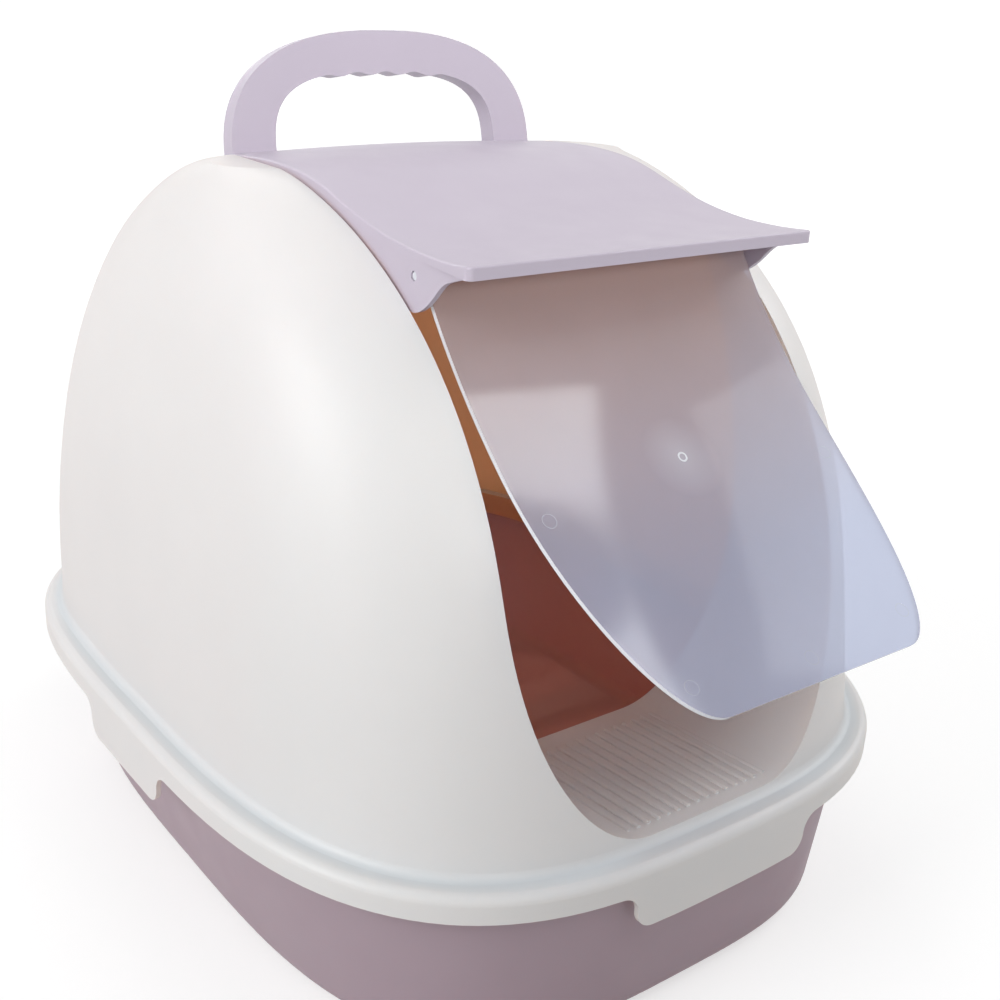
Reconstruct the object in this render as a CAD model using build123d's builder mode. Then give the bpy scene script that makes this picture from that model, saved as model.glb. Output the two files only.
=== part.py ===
from build123d import *
import os
from math import cos, pi, radians, sin, tanh

os.makedirs("parts", exist_ok=True)

# Covered litter box: a tray, a clip-on hood, a top cover with its handle and a swinging flap.
# Millimetres. The origin is on the floor under the middle of the tray, +Z is up and the
# entry faces -Y.

# Rim, where hood and tray meet
RIM_HALF_WIDTH = 200.0
RIM_HALF_LENGTH = 243.0
RIM_LOW_Z = 90.0
RIM_HEIGHT = 14.0
RIM_ROUND = 4.5
RIM_COVE = 4.0
RIM_FRONT_POWER = 3.0
RIM_REAR_POWER = 3.6

# Hood: superelliptical plan sections that draw in towards the crest
HOOD_WALL = 2.6
SHELF_WIDTH = 14.0
CREST_HEIGHT = 284.0
CREST_Y = 30.0
SIDE_CREST_HEIGHT = 309.0
SIDE_POWERS = (2.64, 4.35)
FRONT_POWERS = (2.85, 2.06)
REAR_POWERS = (1.72, 2.4)
FRONT_DRAFT = 0.07
DRAFT_HEIGHT = 100.0
WIDEST_SHARE = 0.44
HOOD_FRONT_POWER = 3.2
HOOD_REAR_POWER = 4.1
HOOD_SECTIONS = 9
CREST_ANGLE = 84.5
PLAN_POINTS = 32

# Drip flange under the hood's wall, inside the tray
FLANGE_INSET = 16.5
FLANGE_WALL = 2.0
FLANGE_LOW_Z = 88.0

# Snap tabs that hang from the hood's skirt
TAB_DEPTH = 20.0
TAB_ROUND_SHARE = 0.475
SIDE_TAB_LENGTH = 86.0
SIDE_TAB_Y = 12.0
FRONT_TAB_WIDTH = 114.0

# Tray
TRAY_WALL = 2.6
TRAY_FLOOR = 3.0
TRAY_DRAFT = 22.0
TRAY_END_DRAFT = 10.0
TRAY_FOOT_POWER = 3.4
TRAY_FLOOR_ROUND = 12.0
TRAY_LIP_WIDTH = 5.5
TRAY_LIP_DROP = 8.0
TRAY_LIP_CLEARANCE = 1.9

# Entry: a U-shaped tunnel with a ribbed sill that slopes down into the tray; its jambs' rear
# edge is given as places along Y and shares of the crest's height
ENTRY_HALF_WIDTH = 105.5
ENTRY_CORNER_WIDTH = 66.0
ENTRY_CORNER_HEIGHT = 123.0
SILL_FRONT_Z = 108.0
SILL_SLOPE = 0.09
SILL_RIB_PITCH = 6.6
SILL_RIB_WIDTH = 2.2
SILL_RIB_HEIGHT = 1.5
SILL_RIB_COUNT = 15
SILL_RIB_FRONT_INSET = 10.0
SILL_RIB_LENGTH = 84.0
JAMB_BACK = ((-118.0, 0.21), (-126.0, 0.47), (-114.0, 0.70), (-62.0, 0.965))

# Top cover: its long edges' side profile, from the rear to the visor lip, and the cheeks' hem
# are places along Y and rises from the crest
COVER_SIDE_GAP = 1.5
LIP_FLARE = 2.5
COVER_THICKNESS = 3.4
LIP_THICKNESS = 6.2
COVER_PROFILE = (
    (84.0, -7.8),
    (60.0, -2.2),
    (36.0, 0.0),
    (4.0, 0.6),
    (-26.0, -2.4),
    (-56.0, -10.2),
    (-84.0, -16.4),
    (-118.0, -19.4),
    (-154.0, -17.6),
)
COVER_CROWN = 2.5
CROWN_END_Y = -84.0
COVER_REAR_CORNER = 8.0
LIP_CORNER = 3.5
COVER_EDGE_ROUND = 1.0
SKIRT_WALL = 2.8
SKIRT_DEPTH = 13.0
CHEEK_REAR_Y = -70.0
CHEEK_HEM = (
    (-66.0, -22.4),
    (-71.0, -24.4),
    (-86.0, -33.6),
    (-101.0, -43.2),
    (-111.5, -46.6),
    (-119.5, -43.1),
    (-127.0, -36.4),
    (-134.0, -29.6),
    (-141.0, -26.6),
    (-150.0, -23.4),
)

# Seat of the cover in the hood
COVER_GAP = 0.3
LEDGE_THICKNESS = 2.6
LEDGE_WIDTH = 7.5
CUT_OUT_END_GAP = 2.0
HOOK_LENGTH = 10.0
HOOK_HEIGHT = 3.4
HOOK_REACH = 3.0
HOOK_CLEARANCE = 0.4
HOOK_DROP = 9.9
HOOK_YS = (-10.0, 46.0)

# Carrying handle, moulded on the cover
HANDLE_Y = 74.5
HANDLE_DROP = 7.0
HANDLE_LEAN = 10.0
HANDLE_THICKNESS = 12.0
HANDLE_HALF_WIDTH = 99.0
HANDLE_HEIGHT = 66.0
HANDLE_POWER = 2.5
GRIP_HALF_WIDTH = 73.0
GRIP_HEIGHT = 44.0
GRIP_POWER = 3.2
GRIP_RIDGE_PITCH = 19.0
GRIP_RIDGE_DEPTH = 1.8
HANDLE_EDGE_ROUND = 2.0
HANDLE_POINTS = 57

# Flap, drawn as it is held in the photograph, swung outward
PIVOT_Y = -111.0
PIVOT_DROP = 30.4
PIN_RADIUS = 2.0
PIN_CLEARANCE = 0.3
PIN_END_INSET = 0.8
FLAP_SIDE_GAP = 1.7
FLAP_SILL_GAP = 17.0
FLAP_THICKNESS = 2.2
FLAP_TOP_ANGLE = 32.0
FLAP_CURL = (0.215, -0.00046)
FLAP_CORNER_LENGTH = 130.0
FLAP_CORNER_WIDTH = 41.0
FLAP_BARREL_RADIUS = 3.4
FLAP_STATIONS = 9

# Levels and sizes that follow from those above
rim_top_z = RIM_LOW_Z + RIM_HEIGHT
hood_base_z = rim_top_z - HOOD_WALL
crest_z = hood_base_z + CREST_HEIGHT
above_all_z = crest_z + 40
front_face_y = -(RIM_HALF_LENGTH - SHELF_WIDTH)
cover_rear_y = COVER_PROFILE[0][0]
cover_lip_y = COVER_PROFILE[-1][0]
cut_out_rear_y = cover_rear_y + CUT_OUT_END_GAP
cover_half_width = ENTRY_HALF_WIDTH - COVER_SIDE_GAP
lip_half_width = cover_half_width + LIP_FLARE
pivot_z = crest_z - PIVOT_DROP
flap_half_width = cover_half_width - SKIRT_WALL - FLAP_SIDE_GAP
flap_length = pivot_z - SILL_FRONT_Z - FLAP_SILL_GAP


def superellipse(half_width, front, rear, widest_y, front_power, rear_power):
    """Plan outline at even polar angles; front and rear halves meet at the widest place."""
    points = []
    for step in range(PLAN_POINTS):
        angle = 2 * pi * step / PLAN_POINTS
        across, along = cos(angle), sin(angle)
        reach, power = (rear, rear_power) if along >= 0 else (front, front_power)
        radius = (abs(across / half_width) ** power + abs(along / reach) ** power) ** (-1 / power)
        points.append((radius * across, widest_y + radius * along))
    return points


def plan_face(height, outline):
    """Face inside a smooth closed outline at a height."""
    with BuildSketch(Plane.XY.offset(height)) as face:
        with BuildLine():
            Spline(*outline, periodic=True)
        make_face()
    return face.sketch


def rim_face(height, inset):
    """The rim's plan shape, drawn in by an inset."""
    length = RIM_HALF_LENGTH - inset
    outline = superellipse(RIM_HALF_WIDTH - inset, length, length, 0, RIM_FRONT_POWER, RIM_REAR_POWER)
    return plan_face(height, outline)


def tray_foot(height, inset):
    """The tray's plan shape at its foot, drawn in by an inset."""
    half_width = RIM_HALF_WIDTH - TRAY_DRAFT - inset
    half_length = RIM_HALF_LENGTH - TRAY_END_DRAFT - inset
    outline = superellipse(half_width, half_length, half_length, 0, TRAY_FOOT_POWER, TRAY_FOOT_POWER)
    return plan_face(height, outline)


def falloff(rise, top, powers):
    """Share of a base size that is left at a rise, reaching 0 at the top."""
    return (1 - (rise / top) ** powers[0]) ** (1 / powers[1])


def hood_face(rise, inset):
    """Plan section of the hood at a rise above its base, drawn in by an inset."""
    top = CREST_HEIGHT - inset
    base_reach = RIM_HALF_LENGTH - SHELF_WIDTH - inset
    half_width = RIM_HALF_WIDTH - SHELF_WIDTH - inset
    half_width *= falloff(rise, SIDE_CREST_HEIGHT - inset, SIDE_POWERS)
    front = (base_reach + CREST_Y) * falloff(rise, top, FRONT_POWERS)
    front *= 1 - FRONT_DRAFT * tanh(rise / DRAFT_HEIGHT)
    rear = (base_reach - CREST_Y) * falloff(rise, top, REAR_POWERS)
    widest_y = CREST_Y + WIDEST_SHARE * (rear - front)
    to_front = widest_y - (CREST_Y - front)
    to_rear = CREST_Y + rear - widest_y
    outline = superellipse(half_width, to_front, to_rear, widest_y, HOOD_FRONT_POWER, HOOD_REAR_POWER)
    return plan_face(hood_base_z + rise, outline)


def hood_sections(inset):
    """Plan sections from the base to just under the crest, closer together near the top."""
    top = CREST_HEIGHT - inset
    angles = [CREST_ANGLE * step / (HOOD_SECTIONS - 1) for step in range(HOOD_SECTIONS)]
    return [hood_face(top * sin(radians(angle)), inset) for angle in angles]


def cover_profile(lowered):
    """The cover's edge profile, lowered, as points of its side view."""
    return [(y, crest_z + rise - lowered) for y, rise in COVER_PROFILE]


def above_profile(lowered, from_y, to_y):
    """Side-view face of all that lies above the lowered cover profile between two places."""
    with BuildSketch(Plane.YZ) as face:
        with BuildLine():
            path = Spline(*cover_profile(lowered))
            Polyline(path @ 1, ((path @ 1).X, above_all_z), ((path @ 0).X, above_all_z), path @ 0)
        make_face()
        with BuildLine():
            Polyline((from_y, 0), (to_y, 0), (to_y, above_all_z), (from_y, above_all_z), close=True)
        make_face(mode=Mode.INTERSECT)
    return face.sketch


def round_footed(plane, half_width, low, high, corner_width, corner_height):
    """Upright face with straight sides and elliptical lower corners."""
    with BuildSketch(plane) as face:
        with BuildLine():
            corner_x = half_width - corner_width
            corner_y = low + corner_height
            right = EllipticalCenterArc(
                (corner_x, corner_y), corner_width, corner_height, start_angle=270, arc_size=90
            )
            left = EllipticalCenterArc(
                (-corner_x, corner_y), corner_width, corner_height, start_angle=180, arc_size=90
            )
            Line(left @ 1, right @ 0)
            Polyline(right @ 1, (half_width, high), (-half_width, high), left @ 0)
        make_face()
    return face.sketch


def entry_outline(y, widened):
    """The entry's outline on a plane square to Y, with the sill at its height there."""
    return round_footed(
        Plane.XZ.offset(-y),
        ENTRY_HALF_WIDTH + widened,
        SILL_FRONT_Z - SILL_SLOPE * (y - front_face_y) - widened,
        above_all_z,
        ENTRY_CORNER_WIDTH + widened,
        ENTRY_CORNER_HEIGHT + widened,
    )


def hook_blocks(reach, clearance):
    """Blocks through the cover's skirts at both sides, for its snap hooks or their windows."""
    with BuildPart() as blocks:
        middle_x = cover_half_width + (reach - SKIRT_WALL) / 2
        hook_z = crest_z - HOOK_DROP
        with Locations([(side * middle_x, y, hook_z) for side in (-1, 1) for y in HOOK_YS]):
            Box(reach + SKIRT_WALL, HOOK_LENGTH + 2 * clearance, HOOK_HEIGHT + 2 * clearance)
    return blocks.part


entry_start_y = -RIM_HALF_LENGTH - 20
into_hood = (0, 1, -SILL_SLOPE)

# Base tray: a flared tub with a rolled lip that the hood sits on
lip_inset = HOOD_WALL + TRAY_LIP_CLEARANCE
tub_inset = lip_inset + TRAY_LIP_WIDTH
lip_low_z = hood_base_z - TRAY_LIP_DROP
with BuildPart() as tub_inside:
    loft([tray_foot(TRAY_FLOOR, tub_inset + TRAY_WALL), rim_face(hood_base_z, tub_inset + TRAY_WALL)])
    fillet(tub_inside.faces().sort_by(Axis.Z)[0].edges(), TRAY_FLOOR_ROUND - TRAY_WALL)
with BuildPart() as tray_lip:
    extrude(rim_face(lip_low_z, lip_inset), amount=TRAY_LIP_DROP)
    fillet(tray_lip.faces().sort_by(Axis.Z)[-1].edges(), TRAY_WALL / 2)
    extrude(
        rim_face(lip_low_z, lip_inset + TRAY_WALL),
        amount=TRAY_LIP_DROP - TRAY_WALL,
        mode=Mode.SUBTRACT,
    )
with BuildPart() as base_tray:
    loft([tray_foot(0, tub_inset), rim_face(hood_base_z, tub_inset)])
    fillet(base_tray.faces().sort_by(Axis.Z)[0].edges(), TRAY_FLOOR_ROUND)
    add(tray_lip.part)
    add(tub_inside.part, mode=Mode.SUBTRACT)
base_tray.part.label = "base_tray"
export_step(base_tray.part, "parts/base_tray.step")

# Hood blank: the dome with a cove where it meets its rim, before it is hollowed
with BuildPart() as rim_blank:
    extrude(rim_face(RIM_LOW_Z, 0), amount=RIM_HEIGHT)
    fillet(rim_blank.faces().sort_by(Axis.Z)[-1].edges(), RIM_ROUND)
with BuildPart() as hood_blank:
    loft(hood_sections(0))
    add(rim_blank.part)
    shelf_edges = hood_blank.edges().filter_by_position(Axis.Z, rim_top_z - 0.1, rim_top_z + 0.1)
    fillet(shelf_edges.sort_by(SortBy.LENGTH)[0], RIM_COVE)

# Snap tabs: the skirt's own wall, carried down at both sides and at the front
skirt_overlap = RIM_HEIGHT / 2
tab_top_z = RIM_LOW_Z + skirt_overlap
tab_low_z = RIM_LOW_Z - TAB_DEPTH


def tab_view(plane, middle, length, band_length):
    """View of a tab under its skirt, with rounded ends and flared shoulders."""
    with BuildSketch(plane) as view:
        with Locations((0, RIM_LOW_Z)):
            Rectangle(band_length, skirt_overlap, align=(Align.CENTER, Align.MIN))
        with Locations((middle, tab_top_z)):
            Rectangle(length, TAB_DEPTH + skirt_overlap, align=(Align.CENTER, Align.MAX))
        corners = view.vertices().sort_by(Axis.Y)
        shoulders = corners[2:6].sort_by(lambda corner: abs(corner.X - middle))[:2]
        fillet(corners[:2] + shoulders, TAB_ROUND_SHARE * TAB_DEPTH)
    return view.sketch


with BuildPart() as tab_prisms:
    extrude(
        tab_view(Plane.YZ, SIDE_TAB_Y, SIDE_TAB_LENGTH, 2 * RIM_HALF_LENGTH - 60),
        amount=RIM_HALF_WIDTH + 10,
        both=True,
    )
    extrude(
        tab_view(Plane.XZ, 0, FRONT_TAB_WIDTH, 2 * RIM_HALF_WIDTH - 60),
        amount=RIM_HALF_LENGTH + 10,
    )
with BuildPart() as snap_tabs:
    extrude(rim_face(tab_low_z, 0), amount=TAB_DEPTH + skirt_overlap)
    extrude(rim_face(tab_low_z, HOOD_WALL), amount=TAB_DEPTH + skirt_overlap, mode=Mode.SUBTRACT)
    add(tab_prisms.part, mode=Mode.INTERSECT)

# Drip flange: a ledge in from the hood's shelf that turns down inside the tray's wall
flange_height = hood_base_z + FLANGE_WALL - FLANGE_LOW_Z
with BuildPart() as drip_flange:
    extrude(rim_face(hood_base_z, SHELF_WIDTH - RIM_COVE), amount=FLANGE_WALL)
    extrude(rim_face(FLANGE_LOW_Z, FLANGE_INSET), amount=flange_height)
    extrude(
        rim_face(FLANGE_LOW_Z, FLANGE_INSET + FLANGE_WALL), amount=flange_height, mode=Mode.SUBTRACT
    )

# Entry block: room for jambs and sill, from the dome's face back to a gentle upright arc
with BuildPart() as entry_block:
    with BuildSketch(Plane.YZ):
        with BuildLine():
            back = Spline(*[(y, share * crest_z) for y, share in JAMB_BACK])
            Polyline(
                back @ 1, (entry_start_y, (back @ 1).Y), (entry_start_y, (back @ 0).Y), back @ 0
            )
        make_face()
    extrude(amount=RIM_HALF_WIDTH, both=True)
    extrude(
        entry_outline(entry_start_y, HOOD_WALL),
        amount=above_all_z,
        dir=into_hood,
        mode=Mode.INTERSECT,
    )

# Gutter: the ledge and wall along the cut-out that the cover sits in
gutter_depth = SKIRT_DEPTH + COVER_GAP
with BuildPart() as cover_gutter:
    extrude(
        above_profile(gutter_depth + LEDGE_THICKNESS, CHEEK_REAR_Y, cut_out_rear_y + HOOD_WALL),
        amount=ENTRY_HALF_WIDTH + HOOD_WALL,
        both=True,
    )
    extrude(
        above_profile(gutter_depth, CHEEK_REAR_Y - 10, cut_out_rear_y),
        amount=ENTRY_HALF_WIDTH,
        both=True,
        mode=Mode.SUBTRACT,
    )
    with BuildSketch(Plane.XY):
        with Locations((0, cut_out_rear_y - LEDGE_WIDTH)):
            Rectangle(2 * (ENTRY_HALF_WIDTH - LEDGE_WIDTH), 400, align=(Align.CENTER, Align.MAX))
    extrude(amount=above_all_z, mode=Mode.SUBTRACT)

# Sill ribs, front to back along the slope
sill_rib_front_y = front_face_y + SILL_RIB_FRONT_INSET
with BuildPart() as sill_ribs:
    with BuildSketch(Plane.XZ.offset(-sill_rib_front_y)):
        with Locations((0, SILL_FRONT_Z - SILL_SLOPE * SILL_RIB_FRONT_INSET)):
            with GridLocations(SILL_RIB_PITCH, 0, SILL_RIB_COUNT, 1):
                RectangleRounded(SILL_RIB_WIDTH, 2 * SILL_RIB_HEIGHT, SILL_RIB_WIDTH / 2 - 0.01)
    extrude(amount=SILL_RIB_LENGTH, dir=into_hood)

window_reach = ENTRY_HALF_WIDTH + HOOD_WALL - cover_half_width + HOOK_CLEARANCE

# Hood shell: the blank without its hollow and the entry, which leave the tunnel, gutter and ribs
with BuildPart() as hood_hollow:
    loft(hood_sections(HOOD_WALL))
    extrude(rim_face(RIM_LOW_Z, HOOD_WALL), amount=RIM_HEIGHT - HOOD_WALL)
    add(entry_block.part, mode=Mode.SUBTRACT)
    add(cover_gutter.part, mode=Mode.SUBTRACT)
with BuildPart() as entry_cut:
    extrude(entry_outline(entry_start_y, 0), amount=above_all_z, dir=into_hood)
    with BuildSketch(Plane.XY):
        with Locations((0, cut_out_rear_y)):
            Rectangle(2 * RIM_HALF_WIDTH, 400, align=(Align.CENTER, Align.MAX))
    extrude(amount=above_all_z, mode=Mode.INTERSECT)
    add(sill_ribs.part, mode=Mode.SUBTRACT)
    add(cover_gutter.part, mode=Mode.SUBTRACT)
    add(hook_blocks(window_reach, HOOK_CLEARANCE))
with BuildPart() as hood_shell:
    add(hood_blank.part)
    add(snap_tabs.part)
    add(entry_cut.part, mode=Mode.SUBTRACT)
    add(hood_hollow.part, mode=Mode.SUBTRACT)
    add(drip_flange.part)
hood_shell.part.label = "hood_shell"
export_step(hood_shell.part, "parts/hood_shell.step")


def cover_section(x):
    """Side view of the cover's plate at a place across it; its crown fades out at the lip."""
    crown = COVER_CROWN * (1 - (x / lip_half_width) ** 2)
    fade = cover_lip_y - CROWN_END_Y
    top = [(y, z + crown * min(1, (cover_lip_y - y) / fade)) for y, z in cover_profile(0)]
    under = [(y, z - COVER_THICKNESS) for y, z in top[:-1]]
    under.append((top[-1][0], top[-1][1] - LIP_THICKNESS))
    with BuildSketch(Plane.YZ.offset(x)) as face:
        with BuildLine():
            upper = Spline(*top)
            lower = Spline(*under)
            Line(upper @ 0, lower @ 0)
            Line(upper @ 1, lower @ 1)
        make_face()
    return face.sketch


def arch(half_width, height, power, ridge_depth):
    """Points of a handle arch from its right foot to its left one, with finger ridges at the top."""
    points = []
    for step in range(HANDLE_POINTS):
        angle = pi * step / (HANDLE_POINTS - 1)
        across, up = cos(angle), sin(angle)
        radius = (abs(across / half_width) ** power + abs(up / height) ** power) ** (-1 / power)
        x = radius * across
        ridge = 0
        if abs(x) < 2 * GRIP_RIDGE_PITCH:
            ridge = ridge_depth * (1 - cos(2 * pi * x / GRIP_RIDGE_PITCH)) / 2
        points.append((x, radius * up - ridge))
    return points


# Top cover: a crowned plate with the visor lip, side skirts, cheeks, snap hooks and the handle
with BuildPart() as cover_plate:
    loft([cover_section(share * lip_half_width) for share in (-1, -0.5, 0, 0.5, 1)])
    with BuildSketch(Plane.XY) as cover_plan:
        with BuildLine():
            Polyline(
                (cover_half_width, cover_rear_y),
                (cover_half_width, PIVOT_Y),
                (lip_half_width, cover_lip_y),
                (-lip_half_width, cover_lip_y),
                (-cover_half_width, PIVOT_Y),
                (-cover_half_width, cover_rear_y),
                close=True,
            )
        make_face()
        corners = cover_plan.vertices().sort_by(Axis.Y)
        fillet(corners[:2], LIP_CORNER)
        fillet(corners[-2:], COVER_REAR_CORNER)
    extrude(amount=above_all_z, mode=Mode.INTERSECT)
    fillet(cover_plate.faces().sort_by(Axis.Z)[-1].edges(), COVER_EDGE_ROUND)

with BuildPart() as cover_sides:
    extrude(
        above_profile(SKIRT_DEPTH, CHEEK_REAR_Y, cover_rear_y - COVER_REAR_CORNER),
        amount=cover_half_width,
        both=True,
    )
    with BuildSketch(Plane.YZ):
        with BuildLine():
            hem = Spline(*[(y, crest_z + rise) for y, rise in CHEEK_HEM])
            Polyline(hem @ 1, ((hem @ 1).X, above_all_z), ((hem @ 0).X, above_all_z), hem @ 0)
        make_face()
    extrude(amount=cover_half_width, both=True)
    extrude(
        above_profile(COVER_THICKNESS / 2, cover_lip_y, cover_rear_y),
        amount=cover_half_width,
        both=True,
        mode=Mode.SUBTRACT,
    )
    with BuildSketch(Plane.XY):
        Rectangle(2 * (cover_half_width - SKIRT_WALL), 2 * RIM_HALF_LENGTH)
    extrude(amount=above_all_z, mode=Mode.SUBTRACT)
    with BuildSketch(Plane.YZ):
        with Locations((PIVOT_Y, pivot_z)):
            Circle(PIN_RADIUS + PIN_CLEARANCE)
    extrude(amount=2 * cover_half_width, both=True, mode=Mode.SUBTRACT)

lean = radians(HANDLE_LEAN)
handle_plane = Plane(
    origin=(0, HANDLE_Y, crest_z - HANDLE_DROP), x_dir=(1, 0, 0), z_dir=(0, -cos(lean), sin(lean))
)
with BuildPart() as handle:
    with BuildSketch(handle_plane):
        with BuildLine():
            outside = Spline(*arch(HANDLE_HALF_WIDTH, HANDLE_HEIGHT, HANDLE_POWER, 0))
            grip = Spline(*arch(GRIP_HALF_WIDTH, GRIP_HEIGHT, GRIP_POWER, GRIP_RIDGE_DEPTH))
            Line(outside @ 0, grip @ 0)
            Line(outside @ 1, grip @ 1)
        make_face()
    extrude(amount=HANDLE_THICKNESS / 2, both=True)
    handle_faces = handle.faces().sort_by(Axis.Y)
    fillet(handle_faces[0].edges() + handle_faces[-1].edges(), HANDLE_EDGE_ROUND)

with BuildPart() as top_cover:
    add(cover_plate.part)
    add(cover_sides.part)
    add(handle.part)
    add(hook_blocks(HOOK_REACH, 0))
top_cover.part.label = "top_cover"
export_step(top_cover.part, "parts/top_cover.step")


def flap_path(offset):
    """Side view of the flap from the pivot down to its tip, moved outward by an offset."""
    points = []
    y, z = PIVOT_Y, pivot_z
    step = flap_length / (FLAP_STATIONS - 1)
    for station in range(FLAP_STATIONS):
        along = station * step
        angle = radians(FLAP_TOP_ANGLE + FLAP_CURL[0] * along + FLAP_CURL[1] * along**2)
        points.append((y - offset * cos(angle), z + offset * sin(angle)))
        along += step / 2
        angle = radians(FLAP_TOP_ANGLE + FLAP_CURL[0] * along + FLAP_CURL[1] * along**2)
        y -= step * sin(angle)
        z -= step * cos(angle)
    return points


# Entry flap: a thin curved sheet with rounded lower corners, a stiff top barrel and two pins
pivot = Vector(0, PIVOT_Y, pivot_z)
tip = Vector(0, *flap_path(0)[-1])
chord = (tip - pivot).length - FLAP_THICKNESS / 2
flap_plane = Plane(origin=pivot, x_dir=(1, 0, 0), z_dir=Vector(1, 0, 0).cross(pivot - tip))
flap_face = round_footed(
    flap_plane, flap_half_width, -chord, FLAP_BARREL_RADIUS, FLAP_CORNER_WIDTH, FLAP_CORNER_LENGTH
)
with BuildPart() as flap_outline:
    extrude(flap_face, amount=flap_length / 3, both=True)
with BuildPart() as entry_flap:
    with BuildSketch(Plane.YZ):
        with BuildLine():
            outer_side = Spline(*flap_path(FLAP_THICKNESS / 2))
            inner_side = Spline(*flap_path(-FLAP_THICKNESS / 2))
            Line(outer_side @ 0, inner_side @ 0)
            Line(outer_side @ 1, inner_side @ 1)
        make_face()
    extrude(amount=flap_half_width, both=True)
    add(flap_outline.part, mode=Mode.INTERSECT)
    with BuildSketch(Plane.YZ):
        with Locations((PIVOT_Y, pivot_z)):
            Circle(FLAP_BARREL_RADIUS)
    extrude(amount=flap_half_width, both=True)
    with BuildSketch(Plane.YZ):
        with Locations((PIVOT_Y, pivot_z)):
            Circle(PIN_RADIUS)
    extrude(amount=cover_half_width - PIN_END_INSET, both=True)
entry_flap.part.label = "entry_flap"
export_step(entry_flap.part, "parts/entry_flap.step")
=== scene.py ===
from math import cos, pi, radians, sin

import bpy
import numpy as np
from mathutils import Matrix, Vector


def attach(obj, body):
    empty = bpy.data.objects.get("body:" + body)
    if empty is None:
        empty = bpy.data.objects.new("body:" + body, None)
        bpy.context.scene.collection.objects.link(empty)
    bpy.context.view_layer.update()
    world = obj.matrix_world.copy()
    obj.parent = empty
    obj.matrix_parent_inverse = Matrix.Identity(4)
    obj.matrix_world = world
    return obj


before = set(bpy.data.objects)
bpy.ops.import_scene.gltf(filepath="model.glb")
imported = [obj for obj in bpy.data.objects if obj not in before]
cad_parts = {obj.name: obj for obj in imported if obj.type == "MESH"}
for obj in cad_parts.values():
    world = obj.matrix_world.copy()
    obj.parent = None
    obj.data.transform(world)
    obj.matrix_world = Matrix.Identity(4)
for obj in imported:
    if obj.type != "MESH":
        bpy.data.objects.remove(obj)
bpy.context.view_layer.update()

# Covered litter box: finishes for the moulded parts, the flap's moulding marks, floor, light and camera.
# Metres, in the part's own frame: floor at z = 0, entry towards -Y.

# Camera, as fitted to the photograph's outlines
CAMERA_PLACE = (-0.436, -0.601, 0.488)
CAMERA_YAW = 38.30
CAMERA_PITCH = 21.78
CAMERA_ROLL = 3.21
CAMERA_REACH = 100.0
SENSOR_WIDTH = 36.0
FOCAL_PIXELS = 1368.0
IMAGE_PIXELS = 1000.0

# Base colours and tints, linear
HOOD_WHITE = (0.875, 0.93, 0.965)
# Painted warm shade: the hood's inside is coloured brown-orange for the cavity's shade and the warm light
# through the wall
HOOD_INSIDE_PAINTED_SHADE = (0.93, 0.61, 0.37)
COVER_LILAC = (0.53, 0.475, 0.56)
TRAY_MAUVE = (0.475, 0.41, 0.475)
# Painted warm shade: the flap's top tint is brownish for the lip's shade over it; its tip tint is its own
# bluish colour
FLAP_TOP_PAINTED_SHADE = (0.86, 0.66, 0.60)
FLAP_TIP_TINT = (0.60, 0.61, 0.75)
FLAP_CLEAR_TINT = (0.76, 0.81, 0.90)
FLAP_EDGE_WHITE = (0.86, 0.88, 0.93)

# Finishes: roughness, and the etched grain's features per metre and its depth
HOOD_FINISH = dict(roughness=0.36, grain_scale=1500, grain_depth=0.00006)
COVER_FINISH = dict(roughness=0.42, grain_scale=1400, grain_depth=0.00006)
TRAY_FINISH = dict(roughness=0.45, grain_scale=1100, grain_depth=0.00008)
FLAP_FINISH = dict(roughness=0.06, grain_scale=700, grain_depth=0.00002)
BEAD_FINISH = dict(roughness=0.16, grain_scale=700, grain_depth=0.00002)
GRAIN_DETAIL = 2
GRAIN_STRENGTH = 0.35
PLASTIC_IOR = 1.49
FLAP_SPECULAR = 0.4

# Unevenness: the mottling's share of a colour, noises as (scale, detail), and how far the sheen varies
SHELL_MOTTLING = 0.012
TRAY_MOTTLING = 0.02
FLAP_MOTTLING = 0.03
MOTTLE_NOISE = (14, 3)
WEAR_NOISE = (45, 4)
NOISE_RANGE = (0.3, 0.7)
SHEEN_LOW, SHEEN_HIGH = 0.87, 1.13

# Light that passes through a wall, scattered: its colour and its share of each face
THROUGH_HOOD = (1.0, 0.74, 0.52)
HOOD_THROUGH_SHARE = 0.26
THROUGH_TRAY = (1.0, 0.45, 0.36)
TRAY_THROUGH_SHARE = 0.24

# The hood's inside has painted warm shade: surfaces that face its middle, from behind the jambs on, are
# coloured brown-orange for the cavity's shade and the warm light through the wall
HOOD_MIDDLE = (0.0, 0.0, 0.10)
INSIDE_FACING = -0.02
PAINTED_SHADE_FROM_Y = -0.118
PAINTED_SHADE_FULL_Y = -0.085

# Flap: side curve from the pivot, as an angle from upright that changes along its length
PIVOT = (-0.111, 0.355)
FLAP_THICKNESS = 0.0022
FLAP_TOP_ANGLE = 32.0
FLAP_CURL = (215.0, -460.0)
FLAP_TIP_Z = 0.215
LINE_STEPS = 240

# Flap: how much its frost covers, where the painted warm shade at its top has given way fully to its tip
# tint, and where its pale edge is full
FLAP_TOP_COVER = 0.37
FLAP_TIP_COVER = 0.42
FLAP_EDGE_COVER = 0.9
TINT_FULL_SHARE = 0.8
SHEET_TILT = 47.0
EDGE_FROM, EDGE_FULL = 0.8, 0.5

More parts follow.
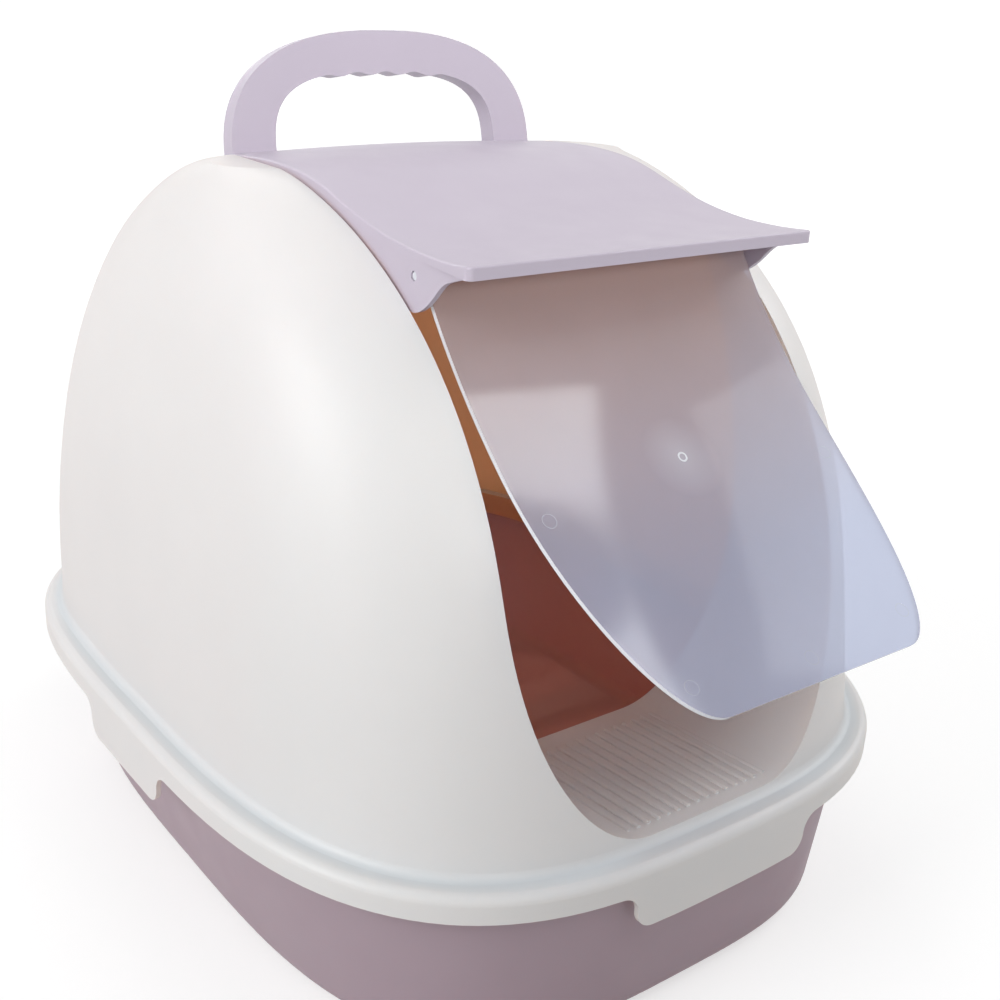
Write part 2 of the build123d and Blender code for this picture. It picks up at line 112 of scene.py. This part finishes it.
# Flap: the moulding gate with the blush round it, and the ejector marks, each (across, along)
GATE_ALONG = 0.108
GATE_RADIUS = 0.0022
GATE_BEAD = (0.0011, 0.00025)
GATE_COVER = 0.8
BLUSH_REACH = 0.022
BLUSH_SHARE = 0.28
EJECTOR_MARKS = ((-0.088, 0.123), (-0.068, 0.212), (0.0, 0.218), (0.068, 0.212), (0.088, 0.123))
EJECTOR_RADIUS = 0.0035
EJECTOR_BEAD = (0.0006, 0.00015)
EJECTOR_COVER = 0.3
RING_STEPS = 48
BEAD_STEPS = 12

# Light and floor; a lamp's fan and roll are in degrees
SKY_LIGHT = 0.50
SEEN_SKY = 1.0
LAMPS = (
    dict(name="key_lamp", place=(-2.25, 0.1, 1.25), aim=(0, 0, 0.2), size=1.4, watts=31),
    dict(name="side_lamp", place=(2.2, -0.2, 1.5), aim=(0, 0, 0.2), size=1.3, watts=17),
    dict(name="front_lamp", place=(-0.7, -2.4, 1.3), aim=(0, 0, 0.84), size=0.7, watts=2, fan=30),
    dict(name="top_lamp", place=(-0.6, -1.7, 1.9), aim=(0, -0.15, 0.28), size=0.9, watts=3),
    dict(name="rear_lamp", place=(0.3, 1.9, 1.6), aim=(0, 0, 0.3), size=1.3, watts=8),
    dict(
        name="window_lamp",
        place=(1.067, -0.713, 1.719),
        aim=(-0.114, -0.197, 0.323),
        size=0.26,
        height=0.174,
        watts=1.6,
        roll=-50,
    ),
)
FLOOR_HALF = 40.0
FLOOR_GREY = (0.5, 0.5, 0.5)
FLOOR_GLOW = (0.58, 0.80)
FLOOR_GLOW_REACH = (0.7, 2.3)


def new_material(name):
    """An empty node material, its nodes, a joining function and its output."""
    material = bpy.data.materials.new(name)
    material.use_nodes = True
    nodes = material.node_tree.nodes
    nodes.clear()
    output = nodes.new("ShaderNodeOutputMaterial")
    return material, nodes, material.node_tree.links.new, output


def object_place(nodes, kind):
    """The piece's own coordinates or its own normal."""
    return nodes.new("ShaderNodeTexCoord").outputs[kind]


def place_along(nodes, join, axis):
    """One of the piece's own coordinates."""
    split = nodes.new("ShaderNodeSeparateXYZ")
    join(object_place(nodes, "Object"), split.inputs["Vector"])
    return split.outputs[axis]


def object_noise(nodes, join, scale, detail):
    """Noise on the piece's own coordinates; scale counts features per metre."""
    noise = nodes.new("ShaderNodeTexNoise")
    noise.inputs["Scale"].default_value = scale
    noise.inputs["Detail"].default_value = detail
    join(object_place(nodes, "Object"), noise.inputs["Vector"])
    return noise.outputs["Fac"]


def spread(nodes, join, source, from_low, from_high, low, high):
    """A value stretched from one range to another and held at its ends."""
    stretch = nodes.new("ShaderNodeMapRange")
    stretch.inputs["From Min"].default_value = from_low
    stretch.inputs["From Max"].default_value = from_high
    stretch.inputs["To Min"].default_value = low
    stretch.inputs["To Max"].default_value = high
    join(source, stretch.inputs["Value"])
    return stretch.outputs["Result"]


def vector_step(nodes, join, operation, first, second):
    """One step of vector arithmetic; the second term is a socket or plain numbers."""
    step = nodes.new("ShaderNodeVectorMath")
    step.operation = operation
    join(first, step.inputs[0])
    if isinstance(second, tuple):
        step.inputs[1].default_value = second
    else:
        join(second, step.inputs[1])
    return step.outputs["Value" if operation in ("DOT_PRODUCT", "DISTANCE") else "Vector"]


def number_step(nodes, join, operation, *terms):
    """One step of arithmetic on sockets."""
    step = nodes.new("ShaderNodeMath")
    step.operation = operation
    for term, socket in zip(terms, step.inputs):
        join(term, socket)
    return step.outputs["Value"]


def blended(nodes, join, share, first, second):
    """Colour that goes from the first to the second; each is plain numbers or a socket."""
    mix = nodes.new("ShaderNodeMix")
    mix.data_type = "RGBA"
    for name, colour in (("A", first), ("B", second)):
        if isinstance(colour, tuple):
            mix.inputs[name].default_value = (*colour, 1)
        else:
            join(colour, mix.inputs[name])
    join(share, mix.inputs["Factor"])
    return mix.outputs["Result"]


def layered(nodes, join, share, first, second):
    """Two shaders mixed; the second one's share is a number or a socket."""
    both = nodes.new("ShaderNodeMixShader")
    if isinstance(share, float):
        both.inputs["Fac"].default_value = share
    else:
        join(share, both.inputs["Fac"])
    join(first, both.inputs[1])
    join(second, both.inputs[2])
    return both.outputs["Shader"]


def coloured_shader(nodes, kind, colour):
    """A shader that has one plain colour."""
    shader = nodes.new(kind)
    shader.inputs["Color"].default_value = (*colour, 1)
    return shader


def mottled(nodes, join, colour, mottling):
    """A colour with a faint uneven tone."""
    tone = spread(nodes, join, object_noise(nodes, join, *MOTTLE_NOISE), *NOISE_RANGE, 0, 1)
    darker = tuple(c * (1 - mottling) for c in colour)
    lighter = tuple(min(1, c * (1 + mottling)) for c in colour)
    return blended(nodes, join, tone, darker, lighter)


def moulded_plastic(nodes, join, colour, roughness, grain_scale, grain_depth):
    """Moulded plastic: uneven sheen and the mould's fine etched grain under a given colour."""
    shader = nodes.new("ShaderNodeBsdfPrincipled")
    join(colour, shader.inputs["Base Color"])
    wear = object_noise(nodes, join, *WEAR_NOISE)
    sheen = spread(nodes, join, wear, *NOISE_RANGE, roughness * SHEEN_LOW, roughness * SHEEN_HIGH)
    join(sheen, shader.inputs["Roughness"])
    bump = nodes.new("ShaderNodeBump")
    bump.inputs["Strength"].default_value = GRAIN_STRENGTH
    bump.inputs["Distance"].default_value = grain_depth
    join(object_noise(nodes, join, grain_scale, GRAIN_DETAIL), bump.inputs["Height"])
    join(bump.outputs["Normal"], shader.inputs["Normal"])
    shader.inputs["IOR"].default_value = PLASTIC_IOR
    return shader


def let_through(nodes, join, surface, colour, share):
    """Mixes a share of light that passes through the wall, scattered, into a surface."""
    through = coloured_shader(nodes, "ShaderNodeBsdfTranslucent", colour)
    return layered(nodes, join, share, surface.outputs["BSDF"], through.outputs["BSDF"])


def hood_material():
    """White plastic that lets some warm light through its wall; its inside is also painted a brown-orange
    warm shade.
    """
    material, nodes, join, output = new_material("hood_white_plastic")
    outward = vector_step(nodes, join, "SUBTRACT", object_place(nodes, "Object"), HOOD_MIDDLE)
    facing = vector_step(nodes, join, "DOT_PRODUCT", object_place(nodes, "Normal"), outward)
    inside = spread(nodes, join, facing, 0, INSIDE_FACING, 0, 1)
    behind = spread(nodes, join, place_along(nodes, join, "Y"), PAINTED_SHADE_FROM_Y, PAINTED_SHADE_FULL_Y, 0, 1)
    # Painted warm shade on surfaces that face the hood's middle and lie behind the jambs
    painted_shade = number_step(nodes, join, "MULTIPLY", inside, behind)
    colour = blended(nodes, join, painted_shade, mottled(nodes, join, HOOD_WHITE, SHELL_MOTTLING), HOOD_INSIDE_PAINTED_SHADE)
    surface = moulded_plastic(nodes, join, colour, **HOOD_FINISH)
    lit = let_through(nodes, join, surface, THROUGH_HOOD, HOOD_THROUGH_SHARE)
    join(lit, output.inputs["Surface"])
    return material


def cover_material():
    """Opaque lilac plastic with a fine matt grain."""
    material, nodes, join, output = new_material("cover_lilac_plastic")
    colour = mottled(nodes, join, COVER_LILAC, SHELL_MOTTLING)
    surface = moulded_plastic(nodes, join, colour, **COVER_FINISH)
    join(surface.outputs["BSDF"], output.inputs["Surface"])
    return material


def tray_material():
    """Mauve plastic whose wall lets a little light into the tray."""
    material, nodes, join, output = new_material("tray_mauve_plastic")
    colour = mottled(nodes, join, TRAY_MAUVE, TRAY_MOTTLING)
    surface = moulded_plastic(nodes, join, colour, **TRAY_FINISH)
    lit = let_through(nodes, join, surface, THROUGH_TRAY, TRAY_THROUGH_SHARE)
    join(lit, output.inputs["Surface"])
    return material


def flap_material():
    """Frosted clear plastic: painted warm shade at its top under the lip, turning to its own bluish
    tint at the tip; whiter along its edges and a little round its moulding gate."""
    material, nodes, join, output = new_material("flap_frosted_clear")
    tilt = radians(SHEET_TILT)
    across_sheet = (0.0, -cos(tilt), sin(tilt))
    lined_up = vector_step(nodes, join, "DOT_PRODUCT", object_place(nodes, "Normal"), across_sheet)
    edge = spread(nodes, join, number_step(nodes, join, "ABSOLUTE", lined_up), EDGE_FROM, EDGE_FULL, 0, 1)
    gate_y, gate_z = flap_line(np.array([GATE_ALONG]), 0)[0][0]
    reach = vector_step(nodes, join, "DISTANCE", object_place(nodes, "Object"), (0.0, gate_y, gate_z))
    blush = spread(nodes, join, reach, 0, BLUSH_REACH, BLUSH_SHARE, 0)
    pale = number_step(nodes, join, "MAXIMUM", edge, blush)
    lower = spread(nodes, join, place_along(nodes, join, "Z"), PIVOT[1], FLAP_TIP_Z, 0, 1)
    tint_share = spread(nodes, join, lower, 0, TINT_FULL_SHARE, 0, 1)
    # Painted warm shade at the top, under the lip, giving way to the flap's own bluish tint at the tip
    top_painted_shade, tip_tone = (
        mottled(nodes, join, tint, FLAP_MOTTLING) for tint in (FLAP_TOP_PAINTED_SHADE, FLAP_TIP_TINT)
    )
    tone = blended(nodes, join, tint_share, top_painted_shade, tip_tone)
    colour = blended(nodes, join, pale, tone, FLAP_EDGE_WHITE)
    surface = moulded_plastic(nodes, join, colour, **FLAP_FINISH)
    surface.inputs["Specular IOR Level"].default_value = FLAP_SPECULAR
    frost = spread(nodes, join, lower, 0, 1, FLAP_TOP_COVER, FLAP_TIP_COVER)
    edge_frost = spread(nodes, join, pale, 0, 1, 0, FLAP_EDGE_COVER - FLAP_TIP_COVER)
    cover = number_step(nodes, join, "ADD", frost, edge_frost)
    clear = coloured_shader(nodes, "ShaderNodeBsdfTransparent", FLAP_CLEAR_TINT)
    sheet = layered(nodes, join, cover, clear.outputs["BSDF"], surface.outputs["BSDF"])
    join(sheet, output.inputs["Surface"])
    return material


def bead_material(name, cover):
    """The flap's plastic where a raised bead catches the light."""
    material, nodes, join, output = new_material(name)
    colour = mottled(nodes, join, FLAP_EDGE_WHITE, FLAP_MOTTLING)
    surface = moulded_plastic(nodes, join, colour, **BEAD_FINISH)
    surface.inputs["Alpha"].default_value = cover
    join(surface.outputs["BSDF"], output.inputs["Surface"])
    return material


def flap_angle(along):
    """The flap's middle line's angle from upright: a quadratic in the distance from the pivot."""
    return np.radians(FLAP_TOP_ANGLE + FLAP_CURL[0] * along + FLAP_CURL[1] * along**2)


def flap_line(along, height):
    """Points of the flap's middle line at distances along it from the pivot, moved outward by a
    height, and the line's outward normals. A point is the pivot plus its distance times the mean
    direction of the line up to it, and the normal is square to the line there."""
    shares = (np.arange(LINE_STEPS) + 0.5) / LINE_STEPS
    angle = flap_angle(shares[None, :] * along[:, None])
    out = along * np.sin(angle).mean(axis=1)
    down = along * np.cos(angle).mean(axis=1)
    last = flap_angle(along)
    normal = np.stack((-np.cos(last), np.sin(last)), axis=1)
    points = np.stack((PIVOT[0] - out, PIVOT[1] - down), axis=1) + height * normal
    return points, normal


def closed_grid_mesh(name, points, material):
    """Mesh of a grid that closes on itself both ways, smooth, with its object at the origin."""
    rows, columns = points.shape[:2]
    row, column = np.meshgrid(np.arange(rows), np.arange(columns), indexing="ij")
    after_row, after_column = (row + 1) % rows, (column + 1) % columns
    quads = np.stack(
        (
            row * columns + column,
            after_row * columns + column,
            after_row * columns + after_column,
            row * columns + after_column,
        ),
        axis=-1,
    ).reshape(-1, 4)
    mesh = bpy.data.meshes.new(name)
    mesh.from_pydata(points.reshape(-1, 3).tolist(), [], quads.tolist())
    mesh.polygons.foreach_set("use_smooth", np.ones(len(quads), dtype=bool))
    mesh.materials.append(material)
    piece = bpy.data.objects.new(name, mesh)
    bpy.context.scene.collection.objects.link(piece)
    return piece


def moulding_ring(name, across, along, radius, bead_size, material):
    """A low bead in a ring on the flap's outer face. Round the ring by one angle and round the
    bead by another: the bead's width goes out from the ring's middle in the sheet, its height
    goes along the sheet's normal, and half of the bead is sunk in the sheet."""
    bead_width, bead_height = bead_size
    turn = np.linspace(0, 2 * pi, RING_STEPS, endpoint=False)[:, None]
    bead = np.linspace(0, 2 * pi, BEAD_STEPS, endpoint=False)[None, :]
    reach = radius + bead_width / 2 * np.cos(bead)
    x = across + reach * np.cos(turn)
    down = along + reach * np.sin(turn)
    surface, normal = flap_line(down.reshape(-1), FLAP_THICKNESS / 2)
    lift = (bead_height * np.sin(bead) + 0 * turn).reshape(-1, 1)
    yz = (surface + lift * normal).reshape(*x.shape, 2)
    ring = closed_grid_mesh(name, np.concatenate((x[..., None], yz), axis=2), material)
    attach(ring, "flap")


def dress(node, material):
    """Gives a carried-over part its finish."""
    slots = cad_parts[node].data.materials
    slots.clear()
    slots.append(material)


def seen_directly(nodes, join):
    """1 for camera, mirror and glass rays, 0 for light that falls on things."""
    path = nodes.new("ShaderNodeLightPath")
    glossy, clear = path.outputs["Is Glossy Ray"], path.outputs["Is Transmission Ray"]
    mirrored = number_step(nodes, join, "MAXIMUM", glossy, clear)
    return number_step(nodes, join, "MAXIMUM", path.outputs["Is Camera Ray"], mirrored)


def white_world():
    """An even sky that is plain white where it is seen."""
    world = bpy.data.worlds.new("studio_white")
    world.use_nodes = True
    nodes = world.node_tree.nodes
    join = world.node_tree.links.new
    nodes.clear()
    output = nodes.new("ShaderNodeOutputWorld")
    skies = []
    for strength in (SKY_LIGHT, SEEN_SKY):
        sky = coloured_shader(nodes, "ShaderNodeBackground", (1, 1, 1))
        sky.inputs["Strength"].default_value = strength
        skies.append(sky.outputs["Background"])
    join(layered(nodes, join, seen_directly(nodes, join), *skies), output.inputs["Surface"])
    bpy.context.scene.world = world


def floor_material():
    """Pale floor that reads white and still takes the shadow; its glow grows with the distance
    from the middle, where the lamps no longer reach."""
    material, nodes, join, output = new_material("floor_white")
    matt = coloured_shader(nodes, "ShaderNodeBsdfDiffuse", FLOOR_GREY)
    glow = nodes.new("ShaderNodeEmission")
    away = vector_step(nodes, join, "DISTANCE", object_place(nodes, "Object"), (0.0, 0.0, 0.0))
    strength = spread(nodes, join, away, *FLOOR_GLOW_REACH, *FLOOR_GLOW)
    join(number_step(nodes, join, "MULTIPLY", seen_directly(nodes, join), strength), glow.inputs["Strength"])
    both = nodes.new("ShaderNodeAddShader")
    join(matt.outputs["BSDF"], both.inputs[0])
    join(glow.outputs["Emission"], both.inputs[1])
    join(both.outputs["Shader"], output.inputs["Surface"])
    return material


def lay_floor():
    """A wide flat floor at z = 0."""
    mesh = bpy.data.meshes.new("floor")
    corners = [(x * FLOOR_HALF, y * FLOOR_HALF, 0) for x, y in ((-1, -1), (1, -1), (1, 1), (-1, 1))]
    mesh.from_pydata(corners, [], [(0, 1, 2, 3)])
    mesh.materials.append(floor_material())
    floor = bpy.data.objects.new("floor", mesh)
    bpy.context.scene.collection.objects.link(floor)


def softbox(name, place, aim, size, watts, height=None, fan=180.0, roll=0.0):
    """A lamp, square or as high as said, that faces a point, turned about its own axis; a
    smaller fan keeps its light near the axis."""
    lamp = bpy.data.lights.new(name, "AREA")
    lamp.shape = "RECTANGLE"
    lamp.size = size
    lamp.size_y = height or size
    lamp.energy = watts
    lamp.spread = radians(fan)
    holder = bpy.data.objects.new(name, lamp)
    holder.location = place
    facing = (Vector(aim) - Vector(place)).to_track_quat("-Z", "Y").to_matrix()
    holder.rotation_euler = (facing @ Matrix.Rotation(radians(roll), 3, "Z")).to_euler()
    bpy.context.scene.collection.objects.link(holder)


def set_camera():
    """The photograph's camera: look direction from yaw and pitch, then rolled about it."""
    yaw, pitch, roll = radians(CAMERA_YAW), radians(CAMERA_PITCH), radians(CAMERA_ROLL)
    ahead = Vector((sin(yaw) * cos(pitch), cos(yaw) * cos(pitch), -sin(pitch)))
    level = Vector((cos(yaw), -sin(yaw), 0))
    upright = level.cross(ahead)
    right = level * cos(roll) + upright * sin(roll)
    up = upright * cos(roll) - level * sin(roll)
    lens = bpy.data.cameras.new("photo_camera")
    lens.sensor_width = SENSOR_WIDTH
    lens.lens = FOCAL_PIXELS / IMAGE_PIXELS * SENSOR_WIDTH
    lens.clip_end = CAMERA_REACH
    camera = bpy.data.objects.new("photo_camera", lens)
    turn = Matrix((right, up, -ahead)).transposed()
    camera.matrix_world = Matrix.Translation(CAMERA_PLACE) @ turn.to_4x4()
    bpy.context.scene.collection.objects.link(camera)
    bpy.context.scene.camera = camera


dress("hood_shell", hood_material())
dress("top_cover", cover_material())
dress("base_tray", tray_material())
dress("entry_flap", flap_material())

gate_finish = bead_material("flap_gate_bead", GATE_COVER)
moulding_ring("flap_gate_mark", 0, GATE_ALONG, GATE_RADIUS, GATE_BEAD, gate_finish)
ejector_finish = bead_material("flap_ejector_bead", EJECTOR_COVER)
for number, (across, along) in enumerate(EJECTOR_MARKS):
    name = f"flap_ejector_mark_{number}"
    moulding_ring(name, across, along, EJECTOR_RADIUS, EJECTOR_BEAD, ejector_finish)

white_world()
lay_floor()
for lamp_row in LAMPS:
    softbox(**lamp_row)
set_camera()
bpy.context.scene.view_settings.view_transform = "Standard"
